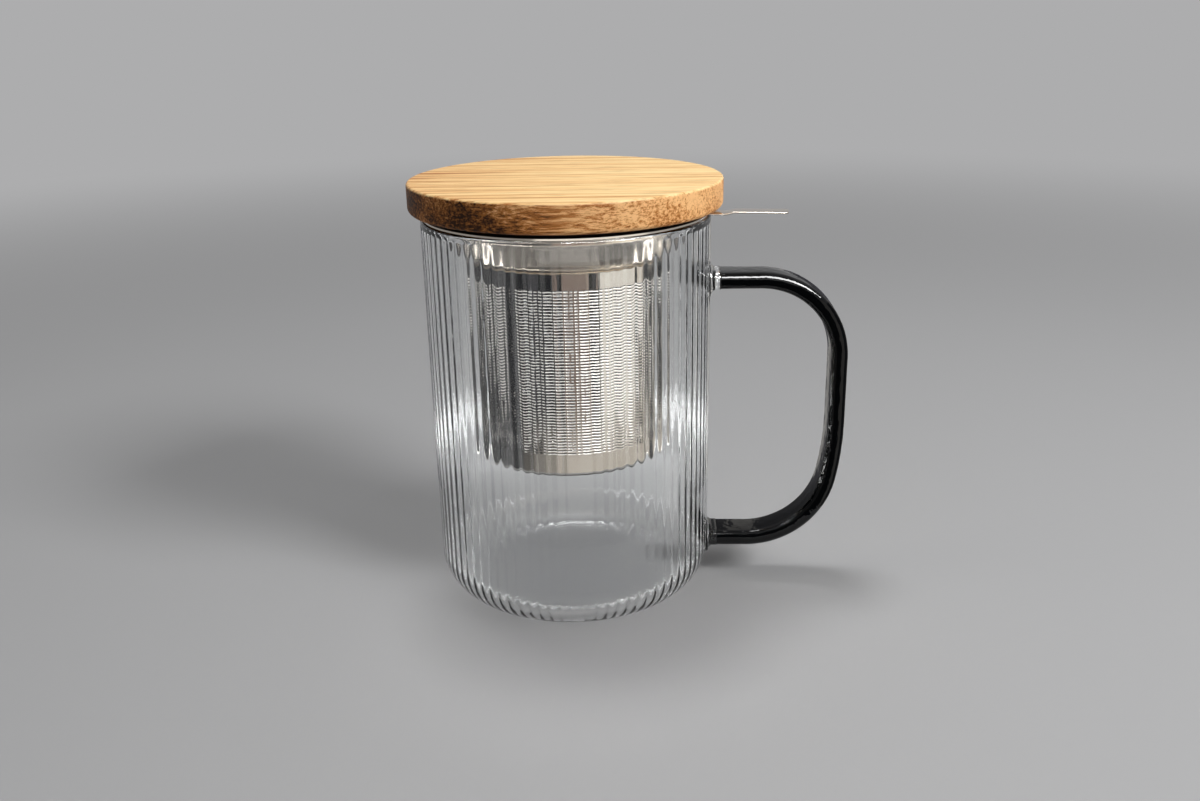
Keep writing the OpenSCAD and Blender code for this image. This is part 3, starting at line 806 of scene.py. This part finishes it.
def tab_grid(infuser):
    """The tab's thin section carried out along its line, drawn in at the tip by
    r - sqrt(r² - (r - d)²), where d is the distance to the tip, and turned about the axis."""
    mid = infuser.top - infuser.sheet / 2
    line = filleted([(infuser.flange - infuser.tab_root, mid), (infuser.tab_step, mid),
                     (infuser.tab_step + infuser.tab_step_length, mid + infuser.tab_rise),
                     (infuser.tab_reach - infuser.tab_round, mid + infuser.tab_rise)],
                    [infuser.bend * 2, infuser.bend * 2])
    round_tip = np.radians(np.linspace(0, 85, 9)[1:])
    tip = infuser.tab_reach - infuser.tab_round * (1 - np.sin(round_tip))
    line = np.vstack([line, np.stack([tip, np.full(len(tip), mid + infuser.tab_rise)], -1)])
    to_tip = np.clip(infuser.tab_reach - line[:, 0], 0, infuser.tab_round)
    drawn_in = infuser.tab_round - np.sqrt(infuser.tab_round ** 2 - (infuser.tab_round - to_tip) ** 2)
    sections = np.stack([
        rounded_rectangle(infuser.tab_thickness, infuser.tab_width - 2 * d, infuser.tab_edge)
        for d in drawn_in])
    grid = carried(line, sections)
    turn = np.array(Matrix.Rotation(infuser.tab_turn, 3, "Z"))
    return grid @ turn.T


class MUG_OT_basket(bpy.types.Operator):
    """Makes the rolled wall of the infuser's basket with the slots that etching cuts, and gives the drilled
    bottom the same steel, painted dark as shade nearer to the axis
    """
    bl_idname = "tea_mug.basket"
    bl_label = "Infuser Basket"

    def execute(self, context):
        mug = context.scene.tea_mug
        infuser = mug.infuser
        etched_with_painted_shade = stainless_steel("etched stainless steel", mug.colours.steel, rough=0.04, brushed=0.05,
                                 etched_with_painted_shade=mug.colours.etched_with_painted_shade,
                                 matt_and_painted_shade_within=infuser.radius - infuser.matt_and_painted_shade_depth)
        wall = new_object("slotted_wall", *slotted_wall(infuser), crease=12)
        dress(wall, etched_with_painted_shade, "infuser", "polished_steel", "infuser_wall")
        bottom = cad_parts["infuser_base"]
        bottom.data.materials.clear()
        bottom.data.materials.append(etched_with_painted_shade)
        return {"FINISHED"}


def slot_turns(infuser):
    """Angles of the columns: two open columns and a bar for each slot, and the first column of all
    on one side of the plain strip along the seam."""
    pitch = 2 * np.pi / infuser.slots
    edges = np.array([0, infuser.slot_share / 2, infuser.slot_share]) * pitch
    starts = infuser.seam + pitch / 2 + np.arange(infuser.slots) * pitch
    return (starts[:, None] + edges).ravel()


def slotted_wall(infuser):
    """The tube of the wall, cut into rows and columns. Between a plain band at its foot and one at
    its top each slot takes a row for its sloping lower lip and an open row above that, except at
    the bars and at the seam. The lip sinks to its depth at the middle of the slot."""
    starts = infuser.slot_low + np.arange(infuser.rows) * infuser.row_pitch
    heights = np.stack([starts, starts + infuser.lip_height, starts + infuser.slot_height], -1).ravel()
    heights = np.concatenate([[infuser.wall_low], heights, [infuser.wall_top]])
    turns = slot_turns(infuser)
    solid = np.ones((len(heights) - 1, len(turns)), bool)
    open_columns = np.arange(len(turns)) % 3 < 2
    open_columns[-3:] = False
    solid[2::3, open_columns] = False
    line = np.stack([np.full(len(heights), infuser.radius), heights], -1)
    sunk = np.zeros((len(heights), len(turns)))
    sunk[2::3, 1:-3:3] = infuser.lip_depth
    outward_turns = np.stack([np.cos(turns), np.sin(turns), np.zeros(len(turns))], -1)
    outer = spun(line, turns) - sunk[..., None] * outward_turns
    return pierced(outer, spun(line - [infuser.mesh, 0], turns), solid)


class MUG_OT_lid(bpy.types.Operator):
    """Makes the turned wooden lid with its spigot"""
    bl_idname = "tea_mug.lid"
    bl_label = "Wooden Lid"

    def execute(self, context):
        mug = context.scene.tea_mug
        lid = mug.lid
        middle = (lid.seal_low + lid.low - lid.seal_thickness) / 2
        groove_low, groove_high = middle - lid.groove_height / 2, middle + lid.groove_height / 2
        deep = lid.spigot - lid.groove_depth
        outline = filleted(
            [(0, lid.spigot_low), (lid.spigot, lid.spigot_low), (lid.spigot, groove_low), (deep, groove_low),
             (deep, groove_high), (lid.spigot, groove_high), (lid.spigot, lid.low), (lid.radius, lid.low),
             (lid.radius, lid.top), (0, lid.top)],
            [lid.spigot_edge] + [lid.groove_edge] * 5 + [lid.low_edge, lid.top_edge], step=radians(10))
        disc = new_object("turned_lid", *skin(spun(outline[1:-1], bearings(360))))
        dress(disc, oiled_acacia(mug.colours, lid), "lid", "acacia_wood", "lid_disc")
        return {"FINISHED"}


class MUG_OT_seal(bpy.types.Operator):
    """Makes the silicone seal with its two lips"""
    bl_idname = "tea_mug.seal"
    bl_label = "Silicone Seal"

    def execute(self, context):
        mug = context.scene.tea_mug
        lid = mug.lid
        flange_low = lid.low - lid.seal_thickness
        inner = lid.spigot + lid.fit
        body = lid.spigot + lid.seal_body
        lip = body + lid.lip_reach
        pitch = (flange_low - lid.seal_low - lid.lip_height) / 2
        second = lid.seal_low + pitch
        flange_top = lid.low - lid.seal_gap
        crease, lip_edge = lid.seal_crease, lid.seal_lip_edge
        outline = filleted(
            [(inner, lid.seal_low), (lip, lid.seal_low), (lip, lid.seal_low + lid.lip_height),
             (body, lid.seal_low + lid.lip_height), (body, second), (lip, second),
             (lip, second + lid.lip_height), (body, second + lid.lip_height), (body, flange_low),
             (lid.seal_flange, flange_low), (lid.seal_flange, flange_top), (inner, flange_top)],
            [crease, lip_edge, lip_edge, crease] * 2 + [lid.seal_flange_edge] * 3 + [crease],
            closed=True, step=radians(20))
        seal = new_object("lip_seal", *skin(spun(outline, bearings(240)), ring=True))
        dress(seal, black_silicone(mug.colours.silicone), "lid", "silicone", "lid_seal")
        return {"FINISHED"}


# ---- stage ----

# Bearing at which each reflection card begins, and its colour: those that the infuser mirrors,
# those that the wall of the glass mirrors inside itself, and those that every outside mirrors
INFUSER_CARDS = [
    (-180, "#2c2c2f"), (-162, "#5a5a5e"), (-152, "#222225"), (-128, "#4c4c50"), (-118, "#141417"),
    (-98, "#87746a"), (-72, "#a4948a"), (-62, "#101012"), (-56, "#fffaf2"), (-12, "#e6dcd0"), (-4, "#141417"),
    (4, "#f6f0e6"), (12, "#1a1a1e"), (28, "#e8e2da"), (34, "#242428"), (60, "#5a5a5d"), (100, "#6c6c6e"),
    (118, "#3a3a3d"), (150, "#28282b")]
GLASS_CARDS = [
    (-180, "#ffffff"), (-166, "#606064"), (-152, "#ffffff"), (-122, "#808083"), (-100, "#ffffff"),
    (-64, "#8a8a8c"), (-46, "#ffffff"), (-6, "#5c5c60"), (10, "#ffffff"), (36, "#505054"), (60, "#b8b8b8"),
    (118, "#505054"), (142, "#ffffff"), (160, "#606063")]
ROOM_CARDS = [
    (-180, "#7c7c7e"), (-160, "#e8e8e6"), (-152, "#5c5c5f"), (-130, "#9a9a9c"), (-118, "#4c4c50"),
    (-96, "#8a8885"), (-72, "#242428"), (-24, "#dcd8d2"), (-10, "#4c4c50"), (6, "#e6e2dc"), (16, "#56565a"),
    (40, "#c8c6c2"), (56, "#707073"), (100, "#bcbab8"), (124, "#68686c"), (150, "#a4a4a6")]

# Name, place, target, sides and power of each lamp, and whether it lights all or shows in gloss alone
LAMPS = [
    ("key", (0.78, -0.48, 0.76), (0, 0, 0.07), (0.3, 0.3), 10.5, True),
    ("gloss", (0.246, -0.47, 0.505), (0.075, 0, 0.07), (0.55, 0.25), 14, False),
    ("overhead", (-0.1, 0.15, 1.2), (0, 0, 0.07), (0.3, 0.25), 5.8, True)]


def add_lamp(name, place, target, sides, power, lights_all):
    """A soft lamp that the camera doesn't see, turned from its place to its target. One that doesn't
    light all only shows in gloss."""
    data = bpy.data.lights.new(name, "AREA")
    data.shape = "RECTANGLE"
    data.size, data.size_y = sides
    data.energy = power
    lamp = bpy.data.objects.new(name, data)
    bpy.context.scene.collection.objects.link(lamp)
    aim = Vector(target) - Vector(place)
    lamp.matrix_world = Matrix.Translation(place) @ aim.to_track_quat("-Z", "Y").to_matrix().to_4x4()
    lamp.visible_camera = False
    lamp.visible_diffuse = lights_all


def lit_cards(colours, stage):
    """The light of the cards. How often a ray has passed through glass tells what mirrors them: an
    outside, the wall of the glass or, past that, the infuser. Each sees its own dark flags and pale
    cards, told apart by bearing. The infuser's turn pale low down in front, and a strip of light
    along their foot glitters in the bottom of the glass. Above the cards the infuser mirrors a
    light panel, and an outside mirrors a brow card in front. A ray that isn't mirrored goes by."""
    material, tree = new_material("lit cards")
    light = (*colours.light, 1)
    place = add_node(tree, "ShaderNodeTexCoord").outputs["Object"]
    apart = add_node(tree, "ShaderNodeSeparateXYZ", {0: place}).outputs
    bearing = add_node(tree, "ShaderNodeMath", {0: apart["Y"], 1: apart["X"]},
                       operation="ARCTAN2").outputs[0]
    path = add_node(tree, "ShaderNodeLightPath").outputs
    mirrored, entered, through = [
        add_node(tree, "ShaderNodeMath", {0: path[depth], 1: most}, operation="GREATER_THAN").outputs[0]
        for depth, most in (
            ("Glossy Depth", 0.5), ("Transmission Depth", 0.5), ("Transmission Depth", 2.5))]
    among_cards, under_brow, at_foot = [
        add_node(tree, "ShaderNodeMath", {0: apart["Z"], 1: height}, operation="LESS_THAN").outputs[0]
        for height in (stage.card_height, stage.brow_height, stage.strip_height)]
    sunny, facing, gap = [
        add_node(tree, "ShaderNodeMath", {0: bearing, 1: middle, 2: spread}, operation="COMPARE").outputs[0]
        for middle, spread in (
            (stage.sun_bearing, stage.sun_spread), (stage.brow_bearing, stage.brow_spread),
            (stage.gap_bearing, stage.gap_spread))]

    share = add_node(tree, "ShaderNodeMapRange", {"Value": bearing, "From Min": -np.pi, "From Max": np.pi})
    rings = []
    for cards in (ROOM_CARDS, GLASS_CARDS, INFUSER_CARDS):
        ramp = add_node(tree, "ShaderNodeValToRGB", {"Fac": share.outputs[0]}, stops=[
            ((start + 180) / 360, (*linear(shade), 1)) for start, shade in cards])
        ramp.color_ramp.interpolation = "CONSTANT"
        rings.append(ramp.outputs["Color"])
    room, glass, infuser = rings
    aside = add_node(tree, "ShaderNodeMath", {0: bearing, 1: stage.sun_bearing}, operation="SUBTRACT")
    aside = add_node(tree, "ShaderNodeMath", {0: aside.outputs[0]}, operation="ABSOLUTE")
    before = add_node(tree, "ShaderNodeMapRange", {
        "Value": aside.outputs[0], "From Min": stage.foot_spread, "From Max": stage.sun_spread})
    foot = add_node(tree, "ShaderNodeMapRange", {
        "Value": apart["Z"], "From Min": stage.foot_end, "From Max": stage.foot_full})
    pale = add_node(tree, "ShaderNodeMath", {0: foot.outputs[0], 1: before.outputs[0]},
                    operation="MULTIPLY")
    inner = add_node(tree, "ShaderNodeMix", {0: pale.outputs[0], 6: infuser, 7: (*colours.card_foot, 1)},
                     data_type="RGBA")
    outer = add_node(tree, "ShaderNodeMix", {0: entered, 6: room, 7: glass}, data_type="RGBA")
    cards = add_node(tree, "ShaderNodeMix", {0: through, 6: outer.outputs[2], 7: inner.outputs[2]},
                     data_type="RGBA")
    strip = add_node(tree, "ShaderNodeMath", {0: at_foot, 1: gap}, operation="GREATER_THAN")
    strip = add_node(tree, "ShaderNodeMath", {0: strip.outputs[0], 1: through}, operation="MULTIPLY")
    cards = add_node(tree, "ShaderNodeMix", {0: strip.outputs[0], 6: cards.outputs[2], 7: light},
                     data_type="RGBA")
    shade = add_node(tree, "ShaderNodeMix", {0: among_cards, 6: light, 7: cards.outputs[2]},
                     data_type="RGBA")

    dim = add_node(tree, "ShaderNodeMix", {0: entered, 2: stage.room_cards, 3: stage.glass_cards})
    dim = add_node(tree, "ShaderNodeMix", {0: through, 2: dim.outputs[0], 3: stage.infuser_cards})
    dim = add_node(tree, "ShaderNodeMix", {0: strip.outputs[0], 2: dim.outputs[0], 3: stage.strip})
    panel = add_node(tree, "ShaderNodeMix", {0: sunny, 2: stage.panel, 3: stage.sun})
    bright = add_node(tree, "ShaderNodeMix", {0: through, 2: stage.brow, 3: panel.outputs[0]})
    power = add_node(tree, "ShaderNodeMix", {0: among_cards, 2: bright.outputs[0], 3: dim.outputs[0]})

    brow = add_node(tree, "ShaderNodeMath", {0: facing, 1: entered}, operation="GREATER_THAN")
    brow = add_node(tree, "ShaderNodeMath", {0: brow.outputs[0], 1: under_brow}, operation="MULTIPLY")
    solid = add_node(tree, "ShaderNodeMath", {0: among_cards, 1: through}, operation="MAXIMUM")
    solid = add_node(tree, "ShaderNodeMath", {0: solid.outputs[0], 1: brow.outputs[0]},
                     operation="MAXIMUM")
    shown = add_node(tree, "ShaderNodeMath", {0: solid.outputs[0], 1: mirrored}, operation="MULTIPLY")
    shine = add_node(tree, "ShaderNodeEmission", {"Color": shade.outputs[2], "Strength": power.outputs[0]})
    clear = add_node(tree, "ShaderNodeBsdfTransparent")
    both = add_node(tree, "ShaderNodeMixShader", {
        0: shown.outputs[0], 1: clear.outputs[0], 2: shine.outputs[0]})
    add_node(tree, "ShaderNodeOutputMaterial", {"Surface": both.outputs[0]})
    return material


def reflection_cards(colours, stage):
    """A ring of upright cards round the part, from the floor to the top of the light panel:
    x = r cos a, y = r sin a. Neither the camera nor a matt surface sees it."""
    line = np.array([(stage.card_radius, 0), (stage.card_radius, stage.panel_height)])
    grid = spun(line, bearings(180))
    index = np.arange(grid.shape[0] * grid.shape[1]).reshape(grid.shape[:2])
    index = np.hstack([index, index[:, :1]])
    ring = new_object("reflection_cards", grid.reshape(-1, 3), [cells(index).reshape(-1, 4)])
    ring.data.materials.append(lit_cards(colours, stage))
    ring.visible_camera = False
    ring.visible_diffuse = False
    ring.visible_shadow = False
    return ring


def add_sky(colours, stage):
    """Even light all round, which shows as the backdrop's colour where it is seen."""
    world = bpy.data.worlds.new("studio")
    world.use_nodes = True
    tree = world.node_tree
    tree.nodes.clear()
    sky = add_node(tree, "ShaderNodeBackground", {"Color": (*colours.light, 1), "Strength": stage.sky})
    backdrop = add_node(tree, "ShaderNodeBackground", {"Color": (*colours.backdrop, 1), "Strength": 1.0})
    both = add_node(tree, "ShaderNodeMixShader", {
        0: seen_ray(tree), 1: sky.outputs[0], 2: backdrop.outputs[0]})
    add_node(tree, "ShaderNodeOutputWorld", {"Surface": both.outputs[0]})
    bpy.context.scene.world = world


def add_camera(stage):
    """A camera on a full frame, 36 mm wide, turned to its heading, tipped down and rolled."""
    lens = bpy.data.cameras.new("camera")
    lens.lens = stage.lens
    lens.sensor_width = 36
    lens.clip_start = 10 * MM
    camera = bpy.data.objects.new("camera", lens)
    bpy.context.scene.collection.objects.link(camera)
    camera.matrix_world = (Matrix.Translation((stage.camera_x, stage.camera_y, stage.camera_z))
                           @ Matrix.Rotation(stage.heading, 4, "Z")
                           @ Matrix.Rotation(radians(90) - stage.pitch, 4, "X")
                           @ Matrix.Rotation(stage.roll, 4, "Z"))
    bpy.context.scene.camera = camera


class MUG_OT_stage(bpy.types.Operator):
    """Makes the floor, the reflection cards, the sky, the lamps and the camera"""
    bl_idname = "tea_mug.stage"
    bl_label = "Stage"

    def execute(self, context):
        mug = context.scene.tea_mug
        colours, stage = mug.colours, mug.stage
        far = stage.floor_size
        corners = np.array([(-far, -far, 0), (far, -far, 0), (far, far, 0), (-far, far, 0)])
        floor = new_object("table", corners - [0, 0, stage.air_gap], [np.array([[0, 1, 2, 3]])])
        floor.data.materials.append(table_top(colours, stage))
        reflection_cards(colours, stage)
        add_sky(colours, stage)
        for lamp in LAMPS:
            add_lamp(*lamp)
        add_camera(stage)
        context.scene.view_settings.view_transform = "Standard"
        return {"FINISHED"}


OPERATORS = (MUG_OT_glass, MUG_OT_handle, MUG_OT_funnel, MUG_OT_basket, MUG_OT_lid, MUG_OT_seal,
             MUG_OT_stage)


class MUG_PT_sidebar(bpy.types.Panel):
    """Lists the pieces and their sizes"""
    bl_idname = "MUG_PT_sidebar"
    bl_label = "Tea Mug"
    bl_space_type = "VIEW_3D"
    bl_region_type = "UI"
    bl_category = "Tea Mug"

    def draw(self, context):
        for operator in OPERATORS:
            self.layout.operator(operator.bl_idname)
        mug = context.scene.tea_mug
        for group in (mug.glass, mug.handle, mug.infuser, mug.lid, mug.colours, mug.stage):
            box = self.layout.box()
            for key in group.bl_rna.properties.keys():
                if key not in ("rna_type", "name"):
                    box.prop(group, key)


CLASSES = (GlassSizes, HandleSizes, InfuserSizes, LidSizes, Colours, StageSizes, TeaMug,
           *OPERATORS, MUG_PT_sidebar)


def register():
    """Registers the classes and gives the scene its properties."""
    for made in CLASSES:
        bpy.utils.register_class(made)
    bpy.types.Scene.tea_mug = PointerProperty(type=TeaMug)


def unregister():
    """Takes the properties and the classes away again."""
    del bpy.types.Scene.tea_mug
    for made in reversed(CLASSES):
        bpy.utils.unregister_class(made)


def main():
    """Makes every piece and the stage."""
    register()
    for operator in OPERATORS:
        getattr(bpy.ops.tea_mug, operator.bl_idname.split(".")[1])()


if __name__ == "__main__":
    main()
